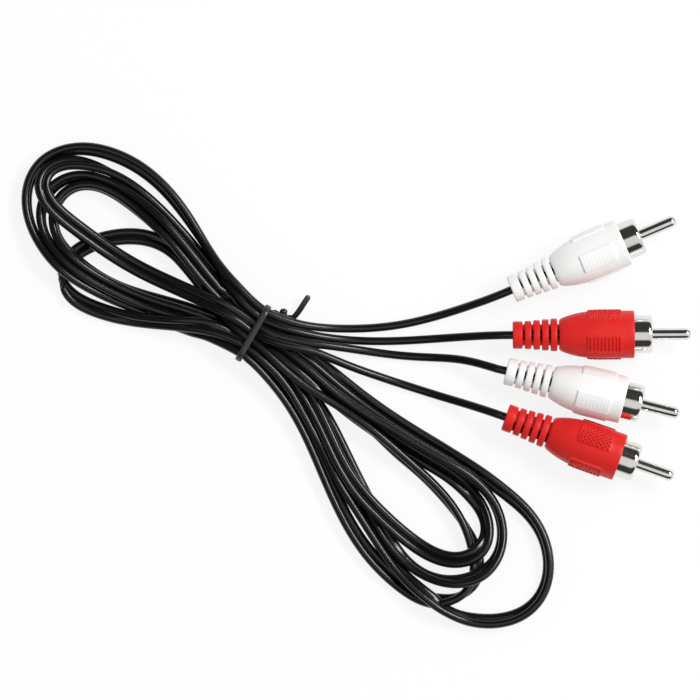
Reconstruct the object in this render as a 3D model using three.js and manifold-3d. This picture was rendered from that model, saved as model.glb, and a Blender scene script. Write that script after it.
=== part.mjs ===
// A stereo audio lead, 1.7 m long: a black twin cord with a white and a red phono plug at each
// end. It lies on a table folded to and fro into two looped lobes. A plastic-coated wire tie
// holds the folds together at their waist, and the four plugs fan out to the right of it.
// Sizes are in millimetres and +Z is up. The table is z = 0, and the origin lies on it under
// the middle of the plugs and the tie.
import * as THREE from "three";
import { mergeVertices } from "three/addons/utils/BufferGeometryUtils.js";
import Module from "manifold-3d";

const wasm = await Module();
wasm.setup();

// Fits
const clearance = 0.3;
const overlap = 0.3;
const weld = 1e-4;

// Cord: each plug has its own round cord, and two of them are joined side by side past the tie
const cordDiameter = 2.2;
const cordSides = 8;
const cordStep = 5;
const cordBuried = 14;
const cordStraight = 3.5;

// Strain relief: a collar and four rings on a slotted core, along the plug from its cord end
const roundSides = 18;
const collarLength = 2.6;
const collarRadius = 3.6;
const ringCount = 4;
const ringLength = 1.75;
const firstRingRadius = 3.7;
const lastRingRadius = 4.3;
const ringEdge = 0.35;
const slotLength = 0.52;
const slotWidth = 3;
const coreRadius = 2.8;

// Moulded body: a flare that opens out of the strain relief, and a plain barrel
const neckRadius = 4.1;
const flareLength = 10.8;
const flareFullness = 0.42;
const flareSteps = 4;
const barrelLength = 8.9;
const barrelRadius = 6.25;
const barrelEdge = 0.35;
const mouldWall = 1.6;

// Grip pads on the body: two with ribs and two with a knurl, in turn
const padProud = 0.4;
const padAngle = 45;
const padStart = 19.4;
const padLength = 9.1;
const ribbedPadTurns = [26, 206];
const knurledPadTurns = [116, 296];
const ribCount = 8;
const ribLength = 0.6;

// Outer contact: a nickel sleeve with a closed-in nose
const sleeveRadius = 5.05;
const sleeveWall = 0.4;
const sleeveProud = 4.7;
const sleeveSeat = 4.4;
const noseLength = 1.3;
const noseRadius = 4.5;
const noseEdge = 0.15;
const sleeveSides = 16;

// Insulator that carries the pin in the sleeve
const insulatorLength = 4.2;
const insulatorProud = 0.5;
const insulatorSides = 12;

// Centre pin
const pinRadius = 1.6;
const pinProud = 10.2;
const pinTail = 1.8;
const pinTipLength = 1.3;
const pinTipShoulder = 0.25;
const pinTipRadius = 0.8;
const pinFlangeRadius = 2.3;
const pinFlangeLength = 0.8;
const pinCupRadius = 0.9;
const pinCupDepth = 1.4;
const pinSides = 10;

// Conductors inside the body: the core to the pin, and the screen to the sleeve
const coreWireRadius = 0.45;
const screenWireRadius = 0.4;
const screenWireRun = 1.5;
const screenWireRise = 5;
const wireSides = 5;

// Plugs: the cord end of each, the way it points and how far it is rolled about its length
const whiteRear1 = [12.9, 15.8];
const redRear1 = [13.2, 3.9];
const whiteRear2 = [11.5, -5.5];
const redRear2 = [11.3, -17.6];
const plugs = [
  { name: "white_plug_1", cord: "white_cord_1", moulded: "white", rear: whiteRear1, heading: 23.1, roll: -14 },
  { name: "red_plug_1", cord: "red_cord_1", moulded: "red", rear: redRear1, heading: 0.4, roll: 0 },
  { name: "white_plug_2", cord: "white_cord_2", moulded: "white", rear: whiteRear2, heading: -13.9, roll: 0 },
  { name: "red_plug_2", cord: "red_cord_2", moulded: "red", rear: redRear2, heading: -19.5, roll: 38 },
];

// Routes of the four single cords, from the tie to where each runs straight into its plug
const routes = {
  white_cord_1: [
    [-45.2, 7.7, 5.8],
    [-41, 6.6, 5],
    [-36.5, 5.9, 3.3],
    [-31.5, 5.7, 1.7],
    [-26.7, 5.7, 1.15],
    [-22, 5.8, 1.15],
    [-17.3, 6.1, 1.15],
    [-13, 6.7, 1.3],
    [-8.5, 7.6, 1.8],
    [-4.2, 8.7, 2.8],
    [0.3, 10.2, 4.2],
    [5.2, 12.2, 5.9],
  ],
  red_cord_1: [
    [-46, 5.2, 5.8],
    [-41, 4.2, 5.6],
    [-36.5, 3.2, 4.1],
    [-31.5, 2.5, 2.2],
    [-26.5, 2.2, 1.3],
    [-20, 2.2, 1.15],
    [-15.5, 2.4, 1.15],
    [-11.5, 2.7, 1.4],
    [-6, 3, 2.5],
    [-0.5, 3.4, 4.2],
    [4.8, 3.7, 5.9],
  ],
  white_cord_2: [
    [-47, 2.8, 5.8],
    [-41.5, 1.7, 5.8],
    [-37.5, 1.1, 5.7],
    [-33.2, 0.5, 4.6],
    [-28.5, 0, 3],
    [-24, -0.5, 1.8],
    [-17.3, -1.2, 1.15],
    [-12.5, -1.7, 1.3],
    [-8, -2, 1.9],
    [-3.5, -2.1, 3],
    [0.6, -2.4, 4.5],
    [4.4, -3.2, 5.8],
  ],
  red_cord_2: [
    [-48.5, 0.4, 5.8],
    [-43.5, -0.7, 5.8],
    [-38.5, -1.7, 5.8],
    [-33.5, -3, 5.8],
    [-29.8, -4.1, 5.3],
    [-25.5, -5.5, 3.8],
    [-20, -7.3, 2],
    [-14.5, -9.1, 1.2],
    [-9, -10.9, 1.4],
    [-4.5, -12.3, 2.4],
    [0, -13.7, 4],
    [4.5, -15.2, 5.7],
  ],
};
const routeSpacing = 2.5;
const firstRouteAcross = 5.6;
const routeLift = 5.8;

// Tie and the waist of the folded cord that it holds
const tiePlace = [-54.8, 4.6];
const bundleHeading = -29.7;
const tieWidth = 1.5;
const tieThickness = 0.6;
const waistWidth = 14.2;
const waistTop = 7;
const waistEdge = 2.2;
const waistReach = 2;
const tieWireRadius = 0.45;
const tieWireSides = 5;
const twistTurns = 1.5;
const twistSteps = 8;
// The ends of the twist lie along the bundle and out from the side of the strap, and the stub
// and the tail start from its far end
const twistStart = { along: -0.28, out: -0.45 };
const twistEnd = { along: 6.56, out: 0.69 };
const stubRoute = [
  [-1.9, 0.9, 0.9],
  [-2, 1, 2.2],
  [-1.9, 0.8, 3.6],
];
const tailRoute = [
  [-0.6, 0.1, 0.9],
  [0.5, 0.3, 1],
  [1.6, 1.7, 1.6],
  [3, 3.7, 2.4],
  [4, 5, 2.7],
  [5, 5.3, 2.6],
];

// Lobes of folded cord: the outer shape of each, and the holes that its loops leave
const lobeHeight = { left: waistTop, right: 4.4 };
const lobeEdge = 1;
const outlineStep = 6.8;
const leftOutline = [
  [-58.4, 17.4],
  [-65.9, 27.4],
  [-72, 35.8],
  [-79.1, 44.3],
  [-86.1, 49.9],
  [-92.7, 53.4],
  [-99.3, 54.7],
  [-104.9, 54.1],
  [-110.6, 51.1],
  [-114.3, 46.2],
  [-115.8, 40],
  [-115, 34.4],
  [-111.9, 27.8],
  [-107.4, 21.6],
  [-106.6, 17.5],
  [-104.9, 13.9],
  [-101.1, 10.9],
  [-94.6, 8.3],
  [-83.8, 5.7],
  [-72, 4.3],
  [-65.1, 1.8],
];
const leftHoles = [
  [
    [-104.9, 39.1],
    [-103, 41.7],
    [-98.8, 43.1],
    [-94.6, 42.4],
    [-89.9, 40],
    [-85.2, 36.5],
    [-82.5, 33.2],
    [-87.4, 32],
    [-92.2, 32],
    [-96.5, 32.4],
    [-101.1, 35.6],
  ],
  [
    [-89.1, 26.9],
    [-85.1, 27.3],
    [-81.4, 27.1],
    [-77.2, 25.4],
    [-73.2, 21.2],
    [-70.2, 17.4],
    [-74.3, 18.9],
    [-79.5, 21.2],
    [-84.8, 24.1],
  ],
];
const rightOutline = [
  [-45.6, 5.2],
  [-41.4, 3.2],
  [-33.2, -2.9],
  [-26.9, -7.4],
  [-17.7, -13.7],
  [-8.5, -19.7],
  [-0.6, -24.5],
  [7.3, -28.9],
  [13.9, -34.2],
  [19.2, -41.1],
  [22.6, -48.2],
  [24, -56.6],
  [22.8, -63.2],
  [19.2, -68.2],
  [13.1, -71.6],
  [6.5, -73],
  [-0.6, -72],
  [-7.9, -68.7],
  [-15.1, -65.3],
  [-22.2, -59.7],
  [-29, -51.3],
  [-34, -42.1],
  [-38.5, -31.6],
  [-42.7, -21.8],
  [-47.9, -11.8],
  [-52.4, -5.8],
];
const rightHoles = [
  [
    [-37.9, -13.1],
    [-30.3, -17.5],
    [-22.1, -23],
    [-15, -28.9],
    [-8.5, -35.3],
    [-2.7, -43],
    [0.6, -49],
    [0.4, -52],
    [-3.2, -52.7],
    [-8.5, -51.8],
    [-15, -47.7],
    [-22.1, -40.6],
    [-27.9, -31.2],
    [-32.6, -22.4],
  ],
  [
    [10, -40],
    [13.8, -42.8],
    [17.8, -48.2],
    [20.2, -54.1],
    [19.8, -59.6],
    [16.6, -65],
    [10.8, -68],
    [4, -68],
    [-0.6, -66],
    [4, -62.8],
    [9.6, -58],
    [12.4, -51.8],
    [12.2, -46],
  ],
];

// Sizes that follow from the ones above
const cordRadius = cordDiameter / 2;
const boreRadius = cordRadius + clearance;
const ringPitch = slotLength + ringLength;
const reliefLength = collarLength + ringCount * ringPitch + slotLength;
const faceAt = reliefLength + flareLength + barrelLength;
const plugAxisHeight = barrelRadius + padProud;
const sleeveRear = faceAt - sleeveSeat;
const sleeveFront = faceAt + sleeveProud;
const sleeveBore = sleeveRadius - sleeveWall;
const seatRadius = sleeveRadius + clearance;
const chamberRadius = barrelRadius - mouldWall - clearance;
const chamberEnd = sleeveRear - clearance;
const insulatorFront = faceAt + insulatorProud;
const insulatorRear = insulatorFront - insulatorLength;
const insulatorRadius = sleeveBore - clearance;
const pinTip = sleeveFront + pinProud;
const pinRear = insulatorRear - pinTail;
const waistHalf = waistWidth / 2;
const strapGap = clearance + tieThickness;
const twistHeight = 2 * tieWireRadius;
const bundleAxis = new THREE.Vector2(1, 0).rotateAround(
  new THREE.Vector2(),
  THREE.MathUtils.degToRad(bundleHeading),
);
const bundleAcross = new THREE.Vector2(-bundleAxis.y, bundleAxis.x);

// Solids: three.js geometry to a closed manifold and back
function solidOf(geometry) {
  const bare = geometry.index ? geometry.toNonIndexed() : geometry.clone();
  bare.deleteAttribute("normal");
  bare.deleteAttribute("uv");
  const merged = mergeVertices(bare, weld);
  return new wasm.Manifold(
    new wasm.Mesh({
      numProp: 3,
      vertProperties: merged.attributes.position.array,
      triVerts: new Uint32Array(merged.index.array),
    }),
  );
}

function geometryOf(solid) {
  const mesh = solid.getMesh();
  const geometry = new THREE.BufferGeometry();
  geometry.setAttribute("position", new THREE.BufferAttribute(mesh.vertProperties, 3));
  geometry.setIndex(new THREE.BufferAttribute(mesh.triVerts, 1));
  const flat = geometry.toNonIndexed();
  flat.computeVertexNormals();
  return flat;
}

function joined(solids) {
  return solids.reduce((sum, next) => sum.add(next));
}

// A solid of revolution about the plug's length, from [radius, along] points
function turned(profile, sides) {
  const points = profile.map(([radius, along]) => new THREE.Vector2(radius, along));
  return new THREE.LatheGeometry(points, sides).rotateZ(-Math.PI / 2);
}

function closedLoop(profile) {
  return [...profile, profile[0]];
}

// A round bar along a list of points
function bar(points, radius, sides, steps) {
  const path = new THREE.CatmullRomCurve3(points, false, "centripetal");
  const corners = Array.from({ length: sides }, (_, i) => {
    const turn = (2 * Math.PI * i) / sides;
    return new THREE.Vector2(radius * Math.cos(turn), radius * Math.sin(turn));
  });
  return new THREE.ExtrudeGeometry(new THREE.Shape(corners), { steps, bevelEnabled: false, extrudePath: path });
}

function vectors(points) {
  return points.map(([x, y, z]) => new THREE.Vector3(x, y, z));
}

// Plug: moulded strain relief and body
function ringProfile(index) {
  const start = collarLength + slotLength + index * ringPitch;
  const radius = THREE.MathUtils.lerp(firstRingRadius, lastRingRadius, index / (ringCount - 1));
  return [
    [coreRadius, start],
    [radius, start + ringEdge],
    [radius, start + ringLength - ringEdge],
    [coreRadius, start + ringLength],
  ];
}

function flareProfile() {
  const flare = new THREE.QuadraticBezierCurve(
    new THREE.Vector2(neckRadius, reliefLength),
    new THREE.Vector2(barrelRadius, reliefLength + flareLength * flareFullness),
    new THREE.Vector2(barrelRadius, reliefLength + flareLength),
  );
  return flare.getPoints(flareSteps).map((point) => [point.x, point.y]);
}

function mouldingProfile() {
  const rings = Array.from({ length: ringCount }, (_, i) => ringProfile(i)).flat();
  return closedLoop([
    [boreRadius, 0],
    [collarRadius - ringEdge, 0],
    [collarRadius, ringEdge],
    [collarRadius, collarLength],
    [coreRadius, collarLength],
    ...rings,
    [coreRadius, reliefLength],
    ...flareProfile(),
    [barrelRadius, faceAt - barrelEdge],
    [barrelRadius - barrelEdge, faceAt],
    [seatRadius, faceAt],
    [seatRadius, chamberEnd],
    [chamberRadius, chamberEnd],
    [chamberRadius, cordBuried + clearance],
    [boreRadius, cordBuried + clearance],
  ]);
}

// Windows through the core in each slot, above and below, that show the cord
function reliefWindows() {
  const height = 2 * lastRingRadius;
  return Array.from({ length: ringCount + 1 }, (_, i) => {
    const window = new THREE.BoxGeometry(slotLength, slotWidth, height);
    return solidOf(window.translate(collarLength + slotLength / 2 + i * ringPitch, 0, 0));
  });
}

// A sector of the barrel, as wide as a pad and centred on an angle from the top
function padSector(turn) {
  const reach = 2 * barrelRadius;
  const half = THREE.MathUtils.degToRad(padAngle / 2);
  const corners = [
    new THREE.Vector2(0, 0),
    new THREE.Vector2(reach, -reach * Math.tan(half)),
    new THREE.Vector2(reach, reach * Math.tan(half)),
  ];
  const sector = new THREE.ExtrudeGeometry(new THREE.Shape(corners), { depth: 2 * padLength, bevelEnabled: false });
  sector.rotateY(Math.PI / 2);
  sector.rotateX(Math.PI + THREE.MathUtils.degToRad(turn));
  return solidOf(sector.translate(padStart - padLength / 2, 0, 0));
}

function ribSleeve() {
  const inner = neckRadius;
  const low = neckRadius + overlap;
  const high = barrelRadius + padProud;
  const pitch = (padLength - ribLength) / (ribCount - 1);
  const ribs = Array.from({ length: ribCount }, (_, i) => {
    const start = padStart + i * pitch;
    return [
      [low, start],
      [high, start],
      [high, start + ribLength],
      [low, start + ribLength],
    ];
  }).flat();
  return solidOf(turned(closedLoop([[inner, padStart], ...ribs, [inner, padStart + padLength]]), roundSides));
}

function plainSleeve() {
  const profile = [
    [neckRadius, padStart],
    [barrelRadius + padProud, padStart],
    [barrelRadius + padProud, padStart + padLength],
    [neckRadius, padStart + padLength],
  ];
  return solidOf(turned(closedLoop(profile), roundSides));
}

function gripPads() {
  const ribbed = ribbedPadTurns.map((turn) => ribSleeve().intersect(padSector(turn)));
  const knurled = knurledPadTurns.map((turn) => plainSleeve().intersect(padSector(turn)));
  return joined([...ribbed, ...knurled]);
}

function moulding() {
  const hollow = solidOf(turned(closedLoop([
    [0, cordBuried + clearance],
    [chamberRadius, cordBuried + clearance],
    [chamberRadius, chamberEnd],
    [seatRadius, chamberEnd],
    [seatRadius, faceAt + clearance],
    [0, faceAt + clearance],
  ]), roundSides));
  const body = solidOf(turned(mouldingProfile(), roundSides));
  return geometryOf(body.add(gripPads()).subtract(hollow).subtract(joined(reliefWindows())));
}

// Plug: metal sleeve, insulator and pin
function sleeve() {
  const noseAt = sleeveFront - noseLength;
  return turned(closedLoop([
    [sleeveBore, sleeveRear],
    [sleeveRadius, sleeveRear],
    [sleeveRadius, noseAt],
    [(sleeveRadius + noseRadius) / 2 + noseEdge, sleeveFront - noseLength / 2],
    [noseRadius, sleeveFront],
    [noseRadius - sleeveWall, sleeveFront],
    [noseRadius - sleeveWall, sleeveFront - noseEdge],
    [sleeveBore, noseAt],
  ]), sleeveSides);
}

function insulator() {
  const flangeFront = insulatorFront - pinFlangeLength;
  return turned(closedLoop([
    [pinRadius + clearance, insulatorRear],
    [insulatorRadius, insulatorRear],
    [insulatorRadius, insulatorFront],
    [pinFlangeRadius + clearance, insulatorFront],
    [pinFlangeRadius + clearance, flangeFront - clearance],
    [pinRadius + clearance, flangeFront - clearance],
  ]), insulatorSides);
}

function pin() {
  return turned([
    [0, pinRear + pinCupDepth],
    [pinCupRadius, pinRear + pinCupDepth],
    [pinCupRadius, pinRear],
    [pinRadius, pinRear],
    [pinRadius, insulatorFront - pinFlangeLength],
    [pinFlangeRadius, insulatorFront - pinFlangeLength],
    [pinFlangeRadius, insulatorFront],
    [pinRadius, insulatorFront],
    [pinRadius, pinTip - pinTipLength],
    [pinRadius - pinTipShoulder, pinTip - pinTipLength / 3],
    [pinTipRadius, pinTip],
    [0, pinTip],
  ], pinSides);
}

// Plug: the two conductors between the end of the cord and the contacts
function coreWire() {
  const start = cordBuried + clearance;
  const end = pinRear + pinCupDepth - clearance;
  const points = vectors([
    [start, 0, 0],
    [(start + end) / 2, 0, 0],
    [end, 0, 0],
  ]);
  return bar(points, coreWireRadius, wireSides, 2);
}

function screenWire() {
  const start = cordBuried + clearance;
  const end = sleeveRear - clearance;
  const lift = (sleeveRadius + sleeveBore) / 2;
  const low = cordRadius - screenWireRadius + clearance;
  const reach = chamberRadius - screenWireRadius - clearance;
  const points = vectors([
    [start, 0, low],
    [start + screenWireRun, 0, low + clearance],
    [start + screenWireRise, 0, reach - clearance],
    [end - screenWireRun, 0, reach],
    [end, 0, Math.min(lift, reach)],
  ]);
  return bar(points, screenWireRadius, wireSides, 6);
}

// Colours and finishes
const finishes = {
  white: { color: 0xf0f0ee, roughness: 0.4, metalness: 0 },
  red: { color: 0xe02420, roughness: 0.4, metalness: 0 },
  nickel: { color: 0xc9c6bf, roughness: 0.16, metalness: 1 },
  nylon: { color: 0xe8e6df, roughness: 0.5, metalness: 0 },
  copper: { color: 0xb87345, roughness: 0.35, metalness: 1 },
  cord: { color: 0x17171a, roughness: 0.45, metalness: 0 },
  tie: { color: 0x242426, roughness: 0.5, metalness: 0 },
};

function piece(name, geometry, finish) {
  const mesh = new THREE.Mesh(geometry, new THREE.MeshStandardMaterial(finishes[finish]));
  mesh.name = name;
  return mesh;
}

const plugShapes = {
  body: moulding(),
  sleeve: sleeve(),
  insulator: insulator(),
  pin: pin(),
  core_wire: coreWire(),
  screen_wire: screenWire(),
};

function plugGroup({ name, moulded, rear, heading, roll }) {
  const group = new THREE.Group();
  const headingAngle = THREE.MathUtils.degToRad(heading);
  group.position.set(rear[0], rear[1], plugAxisHeight);
  group.rotation.set(THREE.MathUtils.degToRad(roll), 0, headingAngle, "ZYX");
  group.add(piece(name + "_body", plugShapes.body, moulded));
  group.add(piece(name + "_sleeve", plugShapes.sleeve, "nickel"));
  group.add(piece(name + "_insulator", plugShapes.insulator, "nylon"));
  group.add(piece(name + "_pin", plugShapes.pin, "nickel"));
  group.add(piece(name + "_core_wire", plugShapes.core_wire, "copper"));
  group.add(piece(name + "_screen_wire", plugShapes.screen_wire, "copper"));
  return group;
}

// Cords: from the waist, along the route and straight into the plug
function waistPoint(along, across, height) {
  const x = tiePlace[0] + along * bundleAxis.x + across * bundleAcross.x;
  const y = tiePlace[1] + along * bundleAxis.y + across * bundleAcross.y;
  return new THREE.Vector3(x, y, height);
}

function plugPoint({ rear, heading }, along) {
  const angle = THREE.MathUtils.degToRad(heading);
  return new THREE.Vector3(rear[0] + along * Math.cos(angle), rear[1] + along * Math.sin(angle), plugAxisHeight);
}

function plugCord(plug, index) {
  const across = firstRouteAcross - index * routeSpacing;
  const points = [
    waistPoint(waistReach + clearance, across, routeLift),
    ...vectors(routes[plug.cord]),
    plugPoint(plug, -cordStraight),
    plugPoint(plug, 0),
    plugPoint(plug, cordBuried / 2),
    plugPoint(plug, cordBuried),
  ];
  const length = new THREE.CatmullRomCurve3(points, false, "centripetal").getLength();
  return bar(points, cordRadius, cordSides, Math.round(length / cordStep));
}

// Lobes: a smooth outline with holes, extruded with chamfered edges
function smoothLoop(points, closed) {
  const path = new THREE.CatmullRomCurve3(points, closed, "centripetal");
  const spaced = path.getSpacedPoints(Math.round(path.getLength() / outlineStep));
  const used = closed ? spaced.slice(0, -1) : spaced;
  return used.map(({ x, y }) => new THREE.Vector2(x, y));
}

function flatPoints(points) {
  return points.map(([x, y]) => new THREE.Vector3(x, y, 0));
}

function lobe(outline, holes, height) {
  const shape = new THREE.Shape(THREE.ShapeUtils.isClockWise(outline) ? outline.reverse() : outline);
  shape.holes = holes.map((hole) => new THREE.Path(smoothLoop(flatPoints(hole), true)));
  const geometry = new THREE.ExtrudeGeometry(shape, {
    depth: height - 2 * lobeEdge,
    bevelSize: lobeEdge,
    bevelThickness: lobeEdge,
    bevelOffset: -lobeEdge,
    bevelSegments: 1,
  });
  return solidOf(geometry.translate(0, 0, lobeEdge));
}

function leftLobeOutline() {
  const edge = smoothLoop([
    waistPoint(-waistReach, waistHalf, 0),
    ...flatPoints(leftOutline),
    waistPoint(-waistReach, -waistHalf, 0),
  ], false);
  const end = [waistPoint(waistReach, -waistHalf, 0), waistPoint(waistReach, waistHalf, 0)];
  return [...edge, ...end.map(({ x, y }) => new THREE.Vector2(x, y))];
}

function rightLobeOutline() {
  const start = waistReach + clearance;
  return smoothLoop([
    waistPoint(start, waistHalf - overlap, 0),
    ...flatPoints(rightOutline),
    waistPoint(start, overlap - waistHalf, 0),
  ], false);
}

// A prism along the bundle at the tie, with the cross-section of a rounded oblong
function oblong(halfWidth, low, high, corner) {
  const shape = new THREE.Shape();
  shape.absarc(halfWidth - corner, low + corner, corner, -Math.PI / 2, 0);
  shape.absarc(halfWidth - corner, high - corner, corner, 0, Math.PI / 2);
  shape.absarc(corner - halfWidth, high - corner, corner, Math.PI / 2, Math.PI);
  shape.absarc(corner - halfWidth, low + corner, corner, Math.PI, 1.5 * Math.PI);
  return shape;
}

function acrossBundle(shape, width) {
  const prism = new THREE.ExtrudeGeometry(shape, { depth: width, bevelEnabled: false, curveSegments: 3 });
  const up = new THREE.Vector3(0, 0, 1);
  const across = new THREE.Vector3(bundleAcross.x, bundleAcross.y, 0);
  const along = new THREE.Vector3().crossVectors(across, up);
  prism.translate(0, 0, -width / 2);
  prism.applyMatrix4(new THREE.Matrix4().makeBasis(across, up, along));
  return solidOf(prism.translate(tiePlace[0], tiePlace[1], 0));
}

// Tie: a strap round the waist whose ends are twisted together, with a stub and a tail left
function strap() {
  const outer = oblong(waistHalf + strapGap, 0, waistTop + strapGap, waistEdge + strapGap);
  outer.holes.push(oblong(waistHalf + clearance, tieThickness, waistTop + clearance, waistEdge + clearance));
  return acrossBundle(outer, tieWidth);
}

function besideStrap({ along, out }) {
  return waistPoint(along, waistHalf + strapGap + out, twistHeight);
}

function twistPoint(share, phase) {
  const start = besideStrap(twistStart);
  const end = besideStrap(twistEnd);
  const along = end.clone().sub(start).normalize();
  const side = new THREE.Vector3(-along.y, along.x, 0);
  const turn = 2 * Math.PI * twistTurns * share + phase;
  const point = start.lerp(end, share);
  point.addScaledVector(side, tieWireRadius * Math.cos(turn));
  point.z += tieWireRadius * Math.sin(turn);
  return point;
}

function twistStrand(phase) {
  const points = Array.from({ length: twistSteps + 1 }, (_, i) => twistPoint(i / twistSteps, phase));
  return solidOf(bar(points, tieWireRadius, tieWireSides, twistSteps));
}

function beyondTwist(route) {
  const end = besideStrap(twistEnd);
  return route.map(([x, y, z]) => new THREE.Vector3(end.x + x, end.y + y, z));
}

function wireTie() {
  const stub = solidOf(bar(beyondTwist(stubRoute), tieWireRadius, tieWireSides, 3));
  const tail = solidOf(bar(beyondTwist(tailRoute), tieWireRadius, tieWireSides, 6));
  return joined([strap(), twistStrand(0), twistStrand(Math.PI), stub, tail]);
}

// Room that the tie takes out of the folded cord
function tieRoom() {
  const slab = oblong(waistWidth, -waistTop, 2 * waistTop, waistEdge);
  const waist = oblong(waistHalf, strapGap, waistTop, waistEdge);
  slab.holes.push(waist);
  const start = besideStrap(twistStart);
  const end = besideStrap(twistEnd);
  const middle = start.clone().lerp(end, 0.5);
  const twist = bar([start, middle, end], twistHeight + clearance, cordSides, 2);
  return acrossBundle(slab, tieWidth + 2 * clearance).add(solidOf(twist));
}

const lead = new THREE.Group();
lead.name = "audio_lead";
plugs.forEach((plug, index) => {
  lead.add(plugGroup(plug));
  lead.add(piece(plug.cord, plugCord(plug, index), "cord"));
});
const leftLobe = lobe(leftLobeOutline(), leftHoles, lobeHeight.left);
const rightLobe = lobe(rightLobeOutline(), rightHoles, lobeHeight.right);
lead.add(piece("left_lobe", geometryOf(leftLobe.subtract(tieRoom())), "cord"));
lead.add(piece("right_lobe", geometryOf(rightLobe.subtract(tieRoom())), "cord"));
lead.add(piece("wire_tie", geometryOf(wireTie()), "tie"));

export default lead;
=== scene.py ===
import math

import bpy
import numpy as np
from mathutils import Matrix, Vector


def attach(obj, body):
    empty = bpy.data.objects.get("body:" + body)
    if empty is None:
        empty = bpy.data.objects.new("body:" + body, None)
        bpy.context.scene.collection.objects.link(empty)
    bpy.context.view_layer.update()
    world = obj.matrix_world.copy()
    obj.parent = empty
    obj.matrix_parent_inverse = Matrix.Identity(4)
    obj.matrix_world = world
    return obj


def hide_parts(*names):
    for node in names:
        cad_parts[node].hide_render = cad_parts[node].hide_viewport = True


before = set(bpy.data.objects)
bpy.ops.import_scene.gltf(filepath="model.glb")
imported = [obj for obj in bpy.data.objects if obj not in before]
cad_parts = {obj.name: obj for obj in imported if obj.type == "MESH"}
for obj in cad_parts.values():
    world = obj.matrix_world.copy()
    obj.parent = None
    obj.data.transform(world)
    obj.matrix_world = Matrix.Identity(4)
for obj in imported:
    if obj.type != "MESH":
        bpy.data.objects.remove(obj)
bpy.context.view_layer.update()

# Stereo audio lead: one twin cord folded to and fro and held by a wire tie, with a moulded phono
# plug on each of its four split ends. Lengths here are in millimetres and are turned into metres
# when a mesh is made.
MM = 0.001

# Cord
CORD_RADIUS = 1.1
CORD_DIAMETER = 2 * CORD_RADIUS
CORD_BURIED = 14.0
CORD_STRAIGHT = 3.5
CORD_SPACING = 1.1
SPLIT_LEAD = 4
LIE_SMOOTHING = 24
WEB_ANGLE = 28
WEB_REACH = 1.01
WEB_SMOOTHING = 3

# Plug moulding
RELIEF_SIDES = 96
COLLAR_LENGTH = 2.6
COLLAR_RADIUS = 3.6
RING_COUNT = 4
RING_LENGTH = 1.75
FIRST_RING_RADIUS = 3.7
LAST_RING_RADIUS = 4.3
RING_ROUNDING = 0.4
SLOT_LENGTH = 0.52
SLOT_WIDTH = 3.0
CORE_RADIUS = 2.8
BORE_RADIUS = 1.4
NECK_RADIUS = 4.1
NECK_ROUNDING = 0.3
FLARE_LENGTH = 10.8
FLARE_FULLNESS = 0.42
BARREL_LENGTH = 8.9
BARREL_RADIUS = 6.25
BARREL_ROUNDING = 0.35
SEAT_RADIUS = 5.35
CHAMBER_RADIUS = 4.35
CHAMBER_END = 27.2
SEAT_EDGE = 0.1
FLARE_STEPS = 40
STATION_STEP = 0.1

# Grip pads
PAD_PROUD = 0.4
PAD_ANGLE = 45.0
PAD_START = 19.4
PAD_LENGTH = 9.1
PAD_TURN = 26.0
PAD_EDGE = 0.18
PAD_FRAME = 0.62
PAD_FLOOR = {"white": 0.37, "red": 0.06}
PAD_COLUMNS = 41
PAD_COLUMN_TURN = 1.15
BETWEEN_COLUMNS = 8
BETWEEN_COLUMN_TURN = 5.2
RIB_COUNT = 8
RIB_OPEN = 0.42
RIB_FLANK = 0.3
KNURL_LONG = 1.35
KNURL_WIDE = 1.0
KNURL_OPEN = 0.62

# Metal contacts
SLEEVE_SIDES = 128
SLEEVE_RADIUS = 5.05
SLEEVE_BORE = 4.65
SLEEVE_PROUD = 4.7
SLEEVE_SEAT = 4.4
NOSE_RADIUS = 4.5
NOSE_LENGTH = 1.3
NOSE_LIP = 4.1
LIP_EDGE = 0.1
LIP_DEPTH = 0.25
INSULATOR_PROUD = 0.5
INSULATOR_LENGTH = 4.2
INSULATOR_RADIUS = 4.35
INSULATOR_ROUNDING = 0.12
PIN_SIDES = 64
PIN_RADIUS = 1.6
PIN_PROUD = 10.2
PIN_TAIL = 1.8
PIN_TIP_LENGTH = 1.5
PIN_TIP_RADIUS = 0.55
PIN_FLANGE_RADIUS = 2.3
PIN_FLANGE_LENGTH = 0.8
PIN_CUP_RADIUS = 0.9
PIN_CUP_DEPTH = 1.4
ROUND_STEPS = 12
FIT = 0.3

RING_PITCH = SLOT_LENGTH + RING_LENGTH
RELIEF_LENGTH = COLLAR_LENGTH + RING_COUNT * RING_PITCH + SLOT_LENGTH
FACE_AT = RELIEF_LENGTH + FLARE_LENGTH + BARREL_LENGTH
AXIS_HEIGHT = BARREL_RADIUS + PAD_PROUD
SLEEVE_REAR = FACE_AT - SLEEVE_SEAT
SLEEVE_FRONT = FACE_AT + SLEEVE_PROUD
INSULATOR_FRONT = FACE_AT + INSULATOR_PROUD
INSULATOR_REAR = INSULATOR_FRONT - INSULATOR_LENGTH
PIN_TIP = SLEEVE_FRONT + PIN_PROUD
PIN_REAR = INSULATOR_REAR - PIN_TAIL

PLUGS = [
    {"name": "white_plug_1", "colour": "white", "rear": (12.9, 15.8), "heading": 23.1, "roll": -14},
    {"name": "red_plug_1", "colour": "red", "rear": (13.2, 3.9), "heading": 0.4, "roll": 0},
    {"name": "white_plug_2", "colour": "white", "rear": (11.5, -5.5), "heading": -13.9, "roll": 0},
    {"name": "red_plug_2", "colour": "red", "rear": (11.3, -17.6), "heading": -19.5, "roll": 38},
]

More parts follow.
